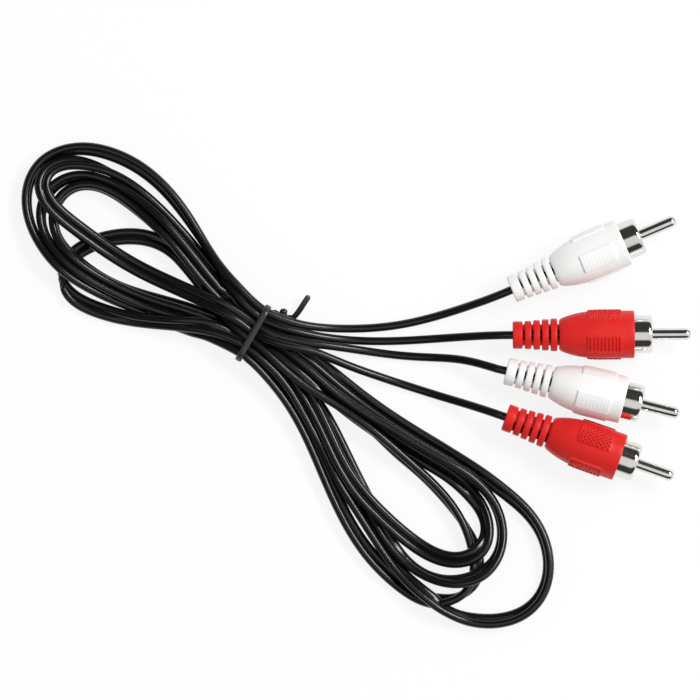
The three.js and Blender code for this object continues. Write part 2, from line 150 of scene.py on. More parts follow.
# Single cords between the split in the twin and the plugs
ROUTES = {
    "white_plug_1": [
        (-36.5, 5.9, 3.3), (-31.5, 5.7, 1.7), (-26.7, 5.7, 1.15), (-22, 5.9, 1.15),
        (-17.3, 6.4, 1.15), (-13, 7.3, 1.3), (-8.5, 8.4, 1.8), (-4.2, 9.6, 2.8),
        (0.3, 11.2, 4.2), (5.2, 12.7, 5.9),
    ],
    "red_plug_1": [
        (-36.5, 3.3, 4.1), (-31.5, 2.7, 2.2), (-26.5, 2.4, 1.3), (-20, 2.3, 1.15),
        (-15.5, 2.4, 1.15), (-11.5, 2.7, 1.4), (-6, 3, 2.5), (-0.5, 3.4, 4.2),
        (4.8, 3.7, 5.9),
    ],
    "white_plug_2": [
        (-33.2, 1.1, 4.6), (-28.5, 0.2, 3), (-24, -0.5, 1.8), (-17.3, -1.4, 1.15),
        (-12.5, -1.9, 1.3), (-8, -2.1, 1.9), (-3.5, -2.1, 3), (0.6, -2.3, 4.5),
        (4.4, -3.1, 5.8),
    ],
    "red_plug_2": [
        (-33.5, -3.2, 5.8), (-29.8, -4.3, 5.3), (-25.5, -5.7, 3.8), (-20, -7.6, 2),
        (-14.5, -9.4, 1.2), (-9, -11.2, 1.4), (-4.5, -12.6, 2.4), (0, -13.9, 4),
        (4.5, -15.2, 5.7),
    ],
}

# Tie, and the stack of ten passes of the twin that it holds
TIE_PLACE = np.array([-54.8, 4.6])
TIE_HEADING = math.radians(-29.7)
TIE_ALONG = np.array([math.cos(TIE_HEADING), math.sin(TIE_HEADING)])
TIE_ACROSS = np.array([-TIE_ALONG[1], TIE_ALONG[0]])
TIE_HOLD = 0.9
TIE_GRIP = 1.1
LOW, MIDDLE, HIGH = 1.8, 3.7, 5.6

# Twin at the split on each side: x, y, z and the lie of its two cords
SPLIT_1 = [(-41, 5.4, 5.3, -12), (-45.6, 6.5, 5.8, 0)]
SPLIT_2 = [(-47.5, 2.2, 5.8, 180), (-42.6, 1.6, 5.8, 180), (-38.4, 0.9, 5.8, 180)]

# Passes under the tie: the place across it and the height of the white and of the red cord, the
# lie of the pair, and the way it runs (1 is towards the plugs)
PASSES = {
    "in": ((6.3, HIGH), (4.2, HIGH), 0, -1),
    "out": ((2.1, HIGH), (0.0, HIGH), 180, 1),
    "a": ((-6.3, HIGH), (-5.25, MIDDLE), 61, 1),
    "b": ((-2.1, HIGH), (-1.05, MIDDLE), 119, -1),
    "c": ((-4.2, HIGH), (-3.15, MIDDLE), 61, 1),
    "d": ((5.25, MIDDLE), (3.15, MIDDLE), 0, -1),
    "e": ((-6.3, LOW), (-4.2, LOW), 0, 1),
    "f": ((1.05, MIDDLE), (2.1, LOW), 119, -1),
    "g": ((-2.1, LOW), (0.0, LOW), 0, 1),
    "h": ((6.3, LOW), (4.2, LOW), 0, -1),
}

# Loops of the twin beyond the tie: x, y, z and the lie of the pair in degrees. 0 is flat with the
# white cord on the outside, 90 is on edge with the white cord on top
LOOPS = {
    "S1": [
        (-57.7, 12.9, 4.6, 30), (-63.3, 19.3, 3.2, 55), (-68, 28, 2.3, 70), (-73.4, 36.6, 2.1, 72),
        (-78.9, 43, 2.1, 66), (-85, 48.1, 2, 62), (-91.8, 51.2, 2, 55), (-98.8, 53, 2, 60),
        (-105.1, 52.3, 2.1, 75), (-110.4, 49.5, 2.2, 90), (-113.6, 45.3, 2.2, 80),
        (-114.6, 40.6, 2.2, 78), (-114.2, 35.8, 2.2, 78), (-112.3, 30.3, 2.4, 82),
        (-108.9, 25, 3.2, 90), (-104.7, 21.3, 4.3, 85), (-100, 18, 3.6, 75), (-95.3, 15.3, 2.7, 65),
        (-89.9, 12.4, 2, 50), (-81.4, 9.7, 1.2, 15), (-72, 7.5, 1.1, 0), (-63.8, 3.6, 1.8, 10),
    ],
    "V4": [
        (-46.8, -11.9, 3.4, 60), (-42.3, -19, 2.6, 58), (-38.2, -27.1, 2.1, 55),
        (-35.4, -34, 2, 55), (-31.1, -43.1, 2, 55), (-27.9, -48.8, 2, 50), (-23.9, -54.3, 1.9, 45),
        (-20, -58.1, 1.7, 42), (-15.7, -61.4, 1.5, 36), (-11.7, -64, 1.6, 38),
        (-7.2, -65.8, 1.8, 56), (-3, -66, 2.1, 72), (0.5, -64.9, 2.2, 82), (2.8, -62.1, 2.2, 88),
        (4.1, -58.8, 2.2, 90), (4.2, -55.8, 2.2, 90), (3, -51.2, 2.2, 88), (0, -45.1, 2.1, 78),
        (-4.5, -38.9, 2.1, 74), (-10.4, -32.7, 2.4, 80), (-15.5, -28.1, 3.3, 90),
        (-20.9, -23.2, 4.2, 95), (-26.6, -18.5, 4.4, 95), (-32.6, -14.2, 4.4, 95),
        (-38.8, -10.5, 4.4, 98), (-44.9, -5.9, 4.6, 105),
    ],
    "U": [
        (-62.8, 11.3, 2.4, 100), (-66.8, 16.1, 2.2, 95), (-70.5, 22.1, 2.2, 98),
        (-73.8, 26.1, 2, 118), (-77.7, 28.4, 1.6, 150), (-82.1, 29.5, 1.2, 170),
        (-86.1, 29.8, 1.1, 180), (-89.9, 29.6, 1.1, 180), (-93.6, 29.1, 1.1, 180),
        (-97, 28, 1.1, 180), (-100.2, 26.3, 1.1, 175), (-103.4, 24, 1.2, 165),
        (-105.6, 21.4, 1.5, 135), (-106, 18.7, 1.8, 105), (-105, 15.9, 2, 64),
        (-102, 13.7, 1.7, 36), (-97.9, 11.6, 1.4, 18), (-92.9, 10, 1.5, 10), (-86.1, 8.5, 2.2, 8),
        (-79.1, 7.4, 3.2, 0), (-72, 6.9, 3.5, 0), (-65, 6.2, 3.9, 20),
    ],
    "V1": [
        (-47.4, -6.3, 4.2, 61), (-43.2, -12.6, 3.6, 62), (-38.4, -19.7, 3.2, 64),
        (-34.3, -27, 2.7, 66), (-31.5, -33.8, 2.3, 70), (-28.4, -39.9, 2.2, 72),
        (-25.9, -44.6, 2.2, 72), (-22.7, -49.3, 2.3, 70), (-19.8, -53.9, 2.6, 66),
        (-16.3, -58.5, 3.3, 62),
        (-13.2, -61.8, 3.9, 58), (-9.9, -64.3, 4, 56), (-6.3, -67.1, 3.3, 42),
        (-0.8, -69.9, 2.1, 36), (2.9, -70.8, 1.8, 40), (6.9, -71.2, 1.9, 50), (13.2, -70.5, 1.9, 60),
        (18.3, -67.9, 2, 66), (21.7, -62.9, 2.1, 74), (22.7, -56.6, 2.1, 76), (22, -51.6, 2.1, 76),
        (20, -46.2, 2.1, 80), (16.5, -41.9, 2, 65), (12.7, -38.9, 1.9, 55), (8.6, -35.9, 1.8, 45),
        (3.7, -32.8, 1.6, 35), (-1.1, -30, 1.4, 22), (-5.9, -26.9, 1.3, 10), (-12.2, -23.2, 1.1, 0),
        (-18.3, -19.5, 1.1, 0), (-26.9, -12.9, 1.1, 0), (-34.3, -6.7, 1.4, 0), (-40.4, -1.8, 2.4, 0),
        (-44.9, 0.9, 3.3, 0),
    ],
    "T1": [
        (-59.3, 10.9, 3.9, 20), (-65, 17.5, 4.3, 60), (-70.6, 24.1, 4.4, 80), (-75.3, 29.7, 4.2, 85),
        (-79.4, 34.5, 3.4, 84), (-84, 38.9, 2.5, 78), (-88.7, 42.6, 2.1, 70),
        (-93.9, 45.1, 2, 66), (-98.8, 46.2, 2, 66), (-103.6, 45.5, 2, 68),
        (-107.6, 43.1, 2.1, 75), (-110.2, 39.6, 2.2, 90), (-111.1, 35.8, 2.2, 80),
        (-110.5, 31.7, 2.3, 80), (-108.2, 27.6, 2.8, 88), (-104.4, 24.1, 4.1, 85),
        (-100.4, 20.8, 4.2, 80), (-94.9, 16.9, 3.8, 80), (-88.8, 14.2, 3.5, 70), (-81.6, 11.1, 2.8, 45),
        (-74.4, 8.9, 1.1, 10), (-67.3, 6.4, 1.1, 0), (-61.5, 3.7, 1.5, 0),
    ],
    "V2": [
        (-46.1, -4.7, 1.3, 0), (-42, -9.9, 1.1, 0), (-37.6, -16.1, 1.1, 0), (-34.2, -22.7, 1.1, 0),
        (-31, -29.2, 1.1, 5), (-27.8, -35.6, 1.1, 5), (-24.3, -41.1, 1.1, 10),
        (-21.9, -46.2, 1.4, 30), (-18.6, -51, 2, 62), (-14.2, -56.3, 2.3, 76),
        (-8.9, -59.6, 3, 74), (-4.5, -60.7, 4.2, 66), (-0.6, -60.9, 5.6, 60), (3, -60, 6, 60),
        (6, -58.4, 5.2, 64), (8.6, -55.8, 3.8, 74), (10.1, -52.4, 2.6, 78), (10.6, -48.1, 2.2, 76),
        (9.9, -43.7, 2.1, 74), (8.3, -40.1, 2.2, 76), (6, -36.6, 2.5, 80), (2.2, -33.5, 2.9, 88),
        (-2.5, -30.5, 3.5, 90), (-7.3, -27.8, 4.1, 90), (-16.6, -21.8, 4.4, 90),
        (-25.4, -16.9, 4.4, 90), (-31.4, -12.9, 4.4, 90), (-37.3, -8, 4.4, 92),
        (-43.4, -2.8, 4.2, 98),
    ],
    "T2": [
        (-61.2, 9.5, 2.9, 112), (-66, 15.9, 3.8, 98), (-71.6, 22.7, 4.4, 92), (-76.1, 28.4, 4.4, 90),
        (-80.8, 33, 3.6, 88), (-85.7, 37.4, 2.6, 84), (-90.5, 40.7, 2.2, 80), (-95, 43, 2.1, 76),
        (-98.8, 43.8, 2.1, 76), (-102.2, 43.3, 2.1, 80), (-105.1, 41.2, 2.2, 88),
        (-107.1, 37.9, 2.2, 84), (-107.7, 33.9, 2.2, 80), (-106.7, 29.6, 2.4, 80),
        (-104.3, 26, 3.5, 88), (-100.9, 22.8, 4.3, 84), (-95.9, 18.9, 3.4, 82), (-90.3, 16.2, 2.4, 84),
        (-84.3, 13.6, 2.2, 84), (-78, 11.3, 2.1, 78), (-72.1, 9.7, 1.9, 50), (-66.4, 8.2, 1.6, 20),
        (-60.3, 6, 1.7, 0),
    ],
    "V3": [
        (-43.6, -8.4, 2.6, 0), (-40.4, -13.4, 3.2, 0), (-37.6, -18.9, 3.3, 0), (-34.7, -25.3, 3.3, 0),
        (-31.9, -31.2, 3.3, 0), (-28, -36.6, 3.3, 0), (-24, -40.8, 3.3, 0), (-20.1, -44.4, 3.3, 0),
        (-16.2, -48, 3.2, 0), (-11.6, -51.3, 2.7, 0), (-7.1, -54.2, 2.8, 0), (-3, -55.4, 3.8, 5),
        (0.8, -55.2, 5, 14), (3.9, -53.6, 5.2, 34), (6, -51.2, 4.1, 62), (6.8, -48.1, 2.9, 80),
        (6.6, -45, 2.3, 76), (5.1, -41.3, 2.1, 64), (3, -37.7, 1.9, 50), (-0.5, -34.3, 1.6, 34),
        (-4.1, -31.1, 1.3, 20), (-8.4, -29, 1.1, 0), (-12.7, -26.8, 1.1, 0), (-16.6, -24.3, 1.1, 0),
        (-25.4, -18, 1.1, 0), (-31.6, -13.8, 1.1, 0), (-37.6, -9.2, 1.1, 0), (-43.5, -3.7, 1.2, 0),
    ],
    "S2": [
        (-56.8, 11.3, 1.6, 0), (-62.4, 17, 1.1, 0), (-67.8, 22.7, 1.1, 0), (-72.8, 28.4, 1.1, 5),
        (-77.5, 33.4, 1.3, 25), (-82.1, 37.7, 1.6, 44), (-86.6, 41.7, 2, 66), (-91.1, 44.9, 2.6, 95),
        (-95.6, 47.4, 3.1, 130), (-100.2, 49, 3.4, 155), (-104.7, 49.5, 3.7, 165),
        (-108.8, 48.2, 4.1, 165), (-111, 45.5, 4.7, 162), (-111, 42.2, 5.2, 165),
        (-108.8, 38.8, 5.5, 172), (-104.9, 35.4, 5.2, 180), (-100.4, 31.8, 4.4, 180),
        (-95.7, 28, 3.7, 180), (-90.4, 24.4, 3.4, 180), (-84.5, 21, 3.4, 180),
        (-77.5, 17.7, 3.7, 180), (-70.8, 14.8, 4.4, 180), (-64, 11.6, 5.4, 180), (-58.4, 8.8, 5.6, 180),
    ],
}
CHAIN = [
    "in", "S1", "a", "V4", "b", "U", "c", "V1", "d", "T1",
    "e", "V2", "f", "T2", "g", "V3", "h", "S2", "out",
]

# Settling of the cord
SETTLE_STEPS = 480
RELAX_STEPS = 160
RELAX_HOLD = 0.6
REFRESH_STEPS = 15
HOLD_FLAT = 0.03
HOLD_HEIGHT = 0.012
WEIGHT_DROP = 0.006
TOUCH = 2.24
NEAR_REACH = 3.4
NEIGHBOURS = 6
STIFFNESS = 0.3
STIFF_REACH = (1, 2, 3)
END_SMOOTHING = 3


# Curves

SPAN_STEPS = 24


def spline(points):
    """Centripetal Catmull-Rom curve through rows of numbers; the first three are the place."""
    rows = np.array(points, dtype=float)
    ends = [2 * rows[0] - rows[1], 2 * rows[-1] - rows[-2]]
    rows = np.vstack([ends[0], rows, ends[1]])
    chords = np.linalg.norm(np.diff(rows[:, :3], axis=0), axis=1)
    knots = np.concatenate([[0], np.cumsum(np.sqrt(chords))])
    out = []
    for i in range(1, len(rows) - 2):
        t0, t1, t2, t3 = knots[i - 1:i + 3]
        t = np.linspace(t1, t2, SPAN_STEPS, endpoint=False)[:, None]
        a1 = (t1 - t) / (t1 - t0) * rows[i - 1] + (t - t0) / (t1 - t0) * rows[i]
        a2 = (t2 - t) / (t2 - t1) * rows[i] + (t - t1) / (t2 - t1) * rows[i + 1]
        a3 = (t3 - t) / (t3 - t2) * rows[i + 1] + (t - t2) / (t3 - t2) * rows[i + 2]
        b1 = (t2 - t) / (t2 - t0) * a1 + (t - t0) / (t2 - t0) * a2
        b2 = (t3 - t) / (t3 - t1) * a2 + (t - t1) / (t3 - t1) * a3
        out.append((t2 - t) / (t2 - t1) * b1 + (t - t1) / (t2 - t1) * b2)
    return np.vstack(out + [rows[-2:-1]])


def lengths_along(points):
    steps = np.linalg.norm(np.diff(points[:, :3], axis=0), axis=1)
    return np.concatenate([[0], np.cumsum(steps)])


def respaced(points, spacing):
    """The same curve with its points at an even distance."""
    along = lengths_along(points)
    count = max(4, int(round(along[-1] / spacing)))
    wanted = np.linspace(0, along[-1], count + 1)
    return np.column_stack([np.interp(wanted, along, column) for column in points.T])


def smoothed(values, passes):
    """Rows smoothed along their length, with the two ends kept."""
    out = np.array(values, dtype=float)
    for _ in range(passes):
        out[1:-1] = 0.25 * out[:-2] + 0.5 * out[1:-1] + 0.25 * out[2:]
    return out


# Cord: where its particles start

def tie_point(along, across, height):
    place = TIE_PLACE + along * TIE_ALONG + across * TIE_ACROSS
    return (place[0], place[1], height)


def pass_points(name):
    white, red, lie, way = PASSES[name]
    across = (white[0] + red[0]) / 2
    height = (white[1] + red[1]) / 2
    return [tie_point(way * along, across, height) + (lie,) for along in (-TIE_HOLD, 0, TIE_HOLD)]


def plug_point(plug, along):
    heading = math.radians(plug["heading"])
    x, y = plug["rear"]
    return (x + along * math.cos(heading), y + along * math.sin(heading), AXIS_HEIGHT)


def twin_rows():
    """Centre of the joined twin and the lie of its pair, from one split to the other."""
    rows = list(SPLIT_1)
    for name in CHAIN:
        rows += pass_points(name) if name in PASSES else LOOPS[name]
    return respaced(spline(rows + SPLIT_2), CORD_SPACING)


def side_vectors(points, lie):
    """Directions from the middle of the twin to its white cord."""
    heading = np.gradient(points[:, :2], axis=0)
    heading /= np.linalg.norm(heading, axis=1)[:, None]
    across = np.column_stack([heading[:, 1], -heading[:, 0], np.zeros(len(points))])
    up = np.array([0.0, 0.0, 1.0])
    return across * np.cos(lie)[:, None] + up * np.sin(lie)[:, None]


def branch(plug, start, beyond):
    """Single cord from its place at the split to its buried end in the plug."""
    ends = [plug_point(plug, along) for along in (-CORD_STRAIGHT, 0, CORD_BURIED / 2, CORD_BURIED)]
    points = np.array([beyond, start] + ROUTES[plug["name"]] + ends)
    curve = spline(points)
    first = np.argmin(np.linalg.norm(curve - start, axis=1))
    return respaced(curve[first:], CORD_SPACING)[1:]


def cord_starts():
    """Particles of the white and the red cord, and the range of each that is joined."""
    rows = twin_rows()
    centre = rows[:, :3]
    lie = np.radians(smoothed(rows[:, 3], LIE_SMOOTHING))
    side = side_vectors(centre, lie)
    cords = {}
    for colour, sign, pair in (("white", 1, (0, 2)), ("red", -1, (1, 3))):
        joined = centre + sign * CORD_RADIUS * side
        head = branch(PLUGS[pair[0]], tuple(joined[0]), tuple(joined[SPLIT_LEAD]))[::-1]
        tail = branch(PLUGS[pair[1]], tuple(joined[-1]), tuple(joined[-1 - SPLIT_LEAD]))
        cords[colour] = (np.vstack([head, joined, tail]), len(head), len(head) + len(joined))
    return cords


# Cord: how it settles on the table

def near_pairs(place, index_of):
    """Pairs of particles that are close, apart from neighbours on the same stretch of the twin."""
    flat = place.astype(np.float32)
    square = np.sum(flat * flat, axis=1)
    apart = square[:, None] + square[None, :] - 2 * flat @ flat.T
    first, second = np.nonzero(np.triu(apart < NEAR_REACH * NEAR_REACH, 1))
    far = np.abs(index_of[first] - index_of[second]) > NEIGHBOURS
    return first[far], second[far]


def pushed(place, free, first, second, wanted, keep_nearer):
    """Moves the two particles of each pair to the wanted distance, shared by how free they are."""
    gap = place[second] - place[first]
    size = np.linalg.norm(gap, axis=1)
    size = np.where(size < 1e-6, 1e-6, size)
    error = wanted - size
    if keep_nearer:
        error = np.maximum(error, 0)
    share = free[first] + free[second]
    share = np.where(share > 0, share, 1)
    move = (error / size / share)[:, None] * gap
    count = len(place)
    total = np.zeros_like(place)
    for axis in range(3):
        total[:, axis] -= np.bincount(first, move[:, axis] * free[first], count)
        total[:, axis] += np.bincount(second, move[:, axis] * free[second], count)
    if keep_nearer:
        hits = np.bincount(first, error > 0, count) + np.bincount(second, error > 0, count)
        total /= np.maximum(hits, 1)[:, None] ** 0.5
    place += total


def stiffened(place, free, runs):
    """Draws each particle towards the smooth curve through others before and after it."""
    for start, stop in runs:
        part = place[start:stop]
        for k in STIFF_REACH:
            ideal = (4 * (part[k:-3 * k] + part[3 * k:-k]) - part[:-4 * k] - part[4 * k:]) / 6
            pull = STIFFNESS * free[start + 2 * k:stop - 2 * k, None]
            part[2 * k:-2 * k] += pull * (ideal - part[2 * k:-2 * k])


def settled():
    """Particles of both cords once they lie on the table and on each other."""
    cords = cord_starts()
    white, red = cords["white"], cords["red"]
    count = len(white[0])
    place = np.vstack([white[0], red[0]])
    target = place.copy()
    runs = [(0, count), (count, len(place))]
    joined = white[2] - white[1]
    pair_white = np.arange(white[1], white[2])
    pair_red = np.arange(red[1], red[2]) + count
    # Both cords are numbered alike along the twin, and their far ends apart from it
    index_of = np.concatenate([np.arange(count) - white[1], np.arange(len(place) - count) - red[1]])
    index_of[index_of >= joined] += 4 * joined
    free = np.ones(len(place))
    from_tie = place[:, :2] - TIE_PLACE
    free[np.abs(from_tie @ TIE_ALONG) < TIE_GRIP] = 0
    for plug in PLUGS:
        rear = np.array(plug_point(plug, 0))
        heading = np.array(plug_point(plug, 1)) - rear
        gap = place - rear
        along = gap @ heading
        aside = np.linalg.norm(gap - along[:, None] * heading, axis=1)
        free[(along > -CORD_STRAIGHT) & (along < CORD_BURIED + 1) & (aside < 1)] = 0
    link_first = np.concatenate([np.arange(start, stop - 1) for start, stop in runs])
    link_second = link_first + 1
    rest = np.linalg.norm(place[link_second] - place[link_first], axis=1)
    fixed = free == 0
    for step in range(SETTLE_STEPS):
        if step % REFRESH_STEPS == 0:
            first, second = near_pairs(place, index_of)
        ease = free[:, None] * (target - place)
        hold = 1.0 if step < SETTLE_STEPS - RELAX_STEPS else RELAX_HOLD
        place[:, :2] += hold * HOLD_FLAT * ease[:, :2]
        place[:, 2] += hold * HOLD_HEIGHT * ease[:, 2] - WEIGHT_DROP * free
        stiffened(place, free, runs)
        pushed(place, free, link_first, link_second, rest, False)
        pushed(place, free, pair_white, pair_red, CORD_DIAMETER, False)
        for _ in range(2):
            pushed(place, free, first, second, TOUCH, True)
            place[:, 2] = np.maximum(place[:, 2], CORD_RADIUS)
        place[fixed] = target[fixed]
    for start, stop in runs:
        place[start:stop] = smoothed(place[start:stop], END_SMOOTHING)
    place[fixed] = target[fixed]
    return {
        "white": (place[:count], white[1], white[2]),
        "red": (place[count:], red[1], red[2]),
    }


# Meshes

class Shell:
    """Vertices and faces of one piece, in millimetres."""

    def __init__(self):
        self.vertices = []
        self.faces = []

    def add(self, vertices, faces):
        base = len(self.vertices)
        self.vertices += [tuple(vertex) for vertex in vertices]
        self.faces += [tuple(base + i for i in face) for face in faces]

    def add_rows(self, rows, closed_rows, caps=False):
        """Rows of equal length joined by quads; each row is a loop."""
        width = len(rows[0])
        vertices = [point for row in rows for point in row]
        faces = []
        last = len(rows) if closed_rows else len(rows) - 1
        for i in range(last):
            low = i * width
            high = (i + 1) % len(rows) * width
            for j in range(width):
                k = (j + 1) % width
                faces.append((low + j, high + j, high + k, low + k))
        if caps:
            faces.append(tuple(range(width)))
            faces.append(tuple(reversed(range((len(rows) - 1) * width, len(rows) * width))))
        self.add(vertices, faces)

    def add_turned(self, profile, sides, closed=True):
        """Solid of revolution about +X from (radius, along) points."""
        turns = [2 * math.pi * j / sides for j in range(sides)]
        rows = []
        for radius, along in profile:
            rows.append([(along, radius * math.cos(a), radius * math.sin(a)) for a in turns])
        self.add_rows(rows, closed, caps=not closed)

    def object(self, name, place=None, smooth_angle=32):
        """Object of the mesh in metres, with smooth shading up to an angle between faces."""
        mesh = bpy.data.meshes.new(name)
        matrix = place or Matrix.Identity(4)
        vertices = [(matrix @ Vector(vertex)) * MM for vertex in self.vertices]
        mesh.from_pydata(vertices, [], self.faces)
        mesh.validate()
        mesh.polygons.foreach_set("use_smooth", [True] * len(mesh.polygons))
        item = bpy.data.objects.new(name, mesh)
        bpy.context.scene.collection.objects.link(item)
        mesh.set_sharp_from_angle(angle=math.radians(smooth_angle))
        return item


def rounded(profile, radius, steps=4):
    """Closed profile with each corner cut back to a smooth curve."""
    out = []
    count = len(profile)
    for i, corner in enumerate(profile):
        here = np.array(corner, dtype=float)
        before = np.array(profile[i - 1], dtype=float) - here
        after = np.array(profile[(i + 1) % count], dtype=float) - here
        cut = min(radius, 0.45 * np.linalg.norm(before), 0.45 * np.linalg.norm(after))
        start = here + before / np.linalg.norm(before) * cut
        end = here + after / np.linalg.norm(after) * cut
        for k in range(steps + 1):
            t = k / steps
            out.append(tuple((1 - t) ** 2 * start + 2 * t * (1 - t) * here + t * t * end))
    return out


# Cord meshes

TUBE_ANGLES = [0, 14, 28, 46, 68, 90, 112, 135, 157, 180, 203, 225, 248, 270, 292, 314, 332, 346]


def tube_sides(points, partner, start, stop):
    """Directions across each point of a cord that face its partner where the two are joined."""
    tangent = np.gradient(points, axis=0)
    tangent /= np.linalg.norm(tangent, axis=1)[:, None]
    side = np.zeros_like(points)
    facing = partner - points[start:stop]
    side[start:stop] = facing / np.linalg.norm(facing, axis=1)[:, None]
    for i in list(range(start - 1, -1, -1)) + list(range(start, len(points))):
        near = i + 1 if i < start else i - 1
        base = side[i] if start <= i < stop else side[near]
        base = base - tangent[i] * (base @ tangent[i])
        side[i] = base / np.linalg.norm(base)
    return tangent, side


def cord_object(name, points, partner, start, stop):
    """Round cord, drawn out to a web towards its partner where the two are joined."""
    tangent, side = tube_sides(points, partner, start, stop)
    other = np.cross(tangent, side)
    web = np.zeros(len(points))
    web[start:stop] = 1
    web = smoothed(web, WEB_SMOOTHING)
    shell = Shell()
    rows = []
    for i, point in enumerate(points):
        row = []
        for degrees in TUBE_ANGLES:
            angle = math.radians(degrees)
            radius = CORD_RADIUS
            if min(degrees, 360 - degrees) <= WEB_ANGLE:
                radius *= 1 + web[i] * (WEB_REACH / math.cos(angle) - 1)
            out = math.cos(angle) * side[i] + math.sin(angle) * other[i]
            row.append(tuple(point + radius * out))
        rows.append(row)
    shell.add_rows(rows, False, caps=True)
    return shell.object(name, smooth_angle=60)


def build_cords(material):
    cords = settled()
    pieces = {}
    for colour, other in (("white", "red"), ("red", "white")):
        points, start, stop = cords[colour]
        mate, mate_start, mate_stop = cords[other]
        item = cord_object(colour + "_channel_cord", points, mate[mate_start:mate_stop], start, stop)
        item.data.materials.append(material)
        pieces[colour] = (item, [tuple(point * MM) for point in points])
    return pieces


# Plug meshes

def plug_matrix(plug):
    x, y = plug["rear"]
    place = Matrix.Translation((x, y, AXIS_HEIGHT))
    heading = Matrix.Rotation(math.radians(plug["heading"]), 4, "Z")
    return place @ heading @ Matrix.Rotation(math.radians(plug["roll"]), 4, "X")


def flare_points():
    """Places along the flare and its radius there, from the neck to the barrel."""
    out = []
    middle = RELIEF_LENGTH + FLARE_LENGTH * FLARE_FULLNESS
    end = RELIEF_LENGTH + FLARE_LENGTH
    for k in range(FLARE_STEPS + 1):
        t = k / FLARE_STEPS
        radius = (1 - t) ** 2 * NECK_RADIUS + (1 - (1 - t) ** 2) * BARREL_RADIUS
        along = (1 - t) ** 2 * RELIEF_LENGTH + 2 * t * (1 - t) * middle + t * t * end
        out.append((along, radius))
    return out


FLARE = flare_points()


def body_radius(along):
    return float(np.interp(along, [point[0] for point in FLARE], [point[1] for point in FLARE]))


def step_up(distance, width):
    """0 outside an edge and 1 inside it, with a soft step."""
    t = min(1.0, max(0.0, distance / width))
    return t * t * (3 - 2 * t)


def pad_height(along, degrees, floor):
    """Height of the grip pads above the body, at an angle from the top towards -Y."""
    for k in range(4):
        turn = (degrees - PAD_TURN - 90 * k + 180) % 360 - 180
        if abs(turn) > PAD_ANGLE / 2 + 1:
            continue
        across = math.radians(turn) * BARREL_RADIUS
        half = math.radians(PAD_ANGLE / 2) * BARREL_RADIUS
        to_end = min(along - PAD_START, PAD_START + PAD_LENGTH - along)
        inside = min(half - abs(across), to_end)
        if inside <= 0:
            return 0.0
        pattern = rib_pattern(along, inside) if k % 2 == 0 else knurl_pattern(along, across)
        return step_up(inside, PAD_EDGE) * (floor + (PAD_PROUD - floor) * pattern)
    return 0.0


def rib_pattern(along, inside):
    """Ribs round the body, with a plain rim about them."""
    rim = 1 - step_up(inside - PAD_FRAME + PAD_EDGE, PAD_EDGE)
    phase = (along - PAD_START - PAD_FRAME) / (PAD_LENGTH - 2 * PAD_FRAME) * RIB_COUNT
    wave = 0.5 - 0.5 * math.cos(2 * math.pi * phase)
    return max(rim, step_up(wave - RIB_OPEN, RIB_FLANK))


def knurl_pattern(along, across):
    """Two sets of thin ridges that cross in diamonds."""
    ridges = []
    for lean in (1, -1):
        phase = (along / KNURL_LONG + lean * across / KNURL_WIDE) * math.pi
        ridges.append(step_up(abs(math.cos(phase)) - KNURL_OPEN, 1 - KNURL_OPEN))
    return max(ridges)


def body_angles():
    """Angles round the body, close together over the pads and wider apart between them."""
    angles = []
    for k in range(4):
        start = PAD_TURN + 90 * k - PAD_ANGLE / 2
        angles += [start - 0.6 + PAD_COLUMN_TURN * j for j in range(PAD_COLUMNS)]
        angles += [start + PAD_ANGLE + 3.0 + BETWEEN_COLUMN_TURN * j for j in range(BETWEEN_COLUMNS)]
    return sorted(angle % 360 for angle in angles)


def body_stations():
    """Places along the body, close together over the pads."""
    flare = [point[0] for point in FLARE[2:30:2]]
    count = int(PAD_LENGTH / STATION_STEP) + 2
    steps = [PAD_START - STATION_STEP / 2 + STATION_STEP * j for j in range(count)]
    front = [FACE_AT - BARREL_ROUNDING - 0.9 * j for j in range(3, -1, -1)]
    return [a for a in flare if a < PAD_START - 0.2] + steps + [a for a in front if a > steps[-1] + 0.2]


def add_body(shell, floor):
    """Flare and barrel with their pads, and the seat, chamber and bore inside."""
    angles = body_angles()
    turns = [math.radians(a) for a in angles]

    def ring(radius, along):
        return [(along, -radius * math.sin(turn), radius * math.cos(turn)) for turn in turns]

    rows = []
    for t in (0.0, 0.25, 0.5, 0.75, 1.0):
        turn = math.pi / 2 * t
        rows.append(ring(NECK_RADIUS - NECK_ROUNDING * (1 - math.sin(turn)),
                         RELIEF_LENGTH + NECK_ROUNDING * (1 - math.cos(turn))))
    for along in body_stations():
        radius = body_radius(along)
        row = []
        for a, turn in zip(angles, turns):
            reach = radius + pad_height(along, a, floor)
            row.append((along, -reach * math.sin(turn), reach * math.cos(turn)))
        rows.append(row)
    for t in (0.25, 0.5, 0.75, 1.0):
        turn = math.pi / 2 * t
        rows.append(ring(BARREL_RADIUS - BARREL_ROUNDING * (1 - math.cos(turn)),
                         FACE_AT - BARREL_ROUNDING * (1 - math.sin(turn))))
    rows.append(ring(SEAT_RADIUS + SEAT_EDGE, FACE_AT))
    rows.append(ring(SEAT_RADIUS, FACE_AT - SEAT_EDGE))
    rows.append(ring(SEAT_RADIUS, CHAMBER_END))
    rows.append(ring(CHAMBER_RADIUS, CHAMBER_END))
    rows.append(ring(CHAMBER_RADIUS, CORD_BURIED + FIT))
    rows.append(ring(BORE_RADIUS, CORD_BURIED + FIT))
    rows.append(ring(BORE_RADIUS, RELIEF_LENGTH))
    shell.add_rows(rows, True)


def ring_profile(radius, start, length):
    return rounded([
        (BORE_RADIUS, start),
        (radius, start),
        (radius, start + length),
        (BORE_RADIUS, start + length),
    ], RING_ROUNDING)


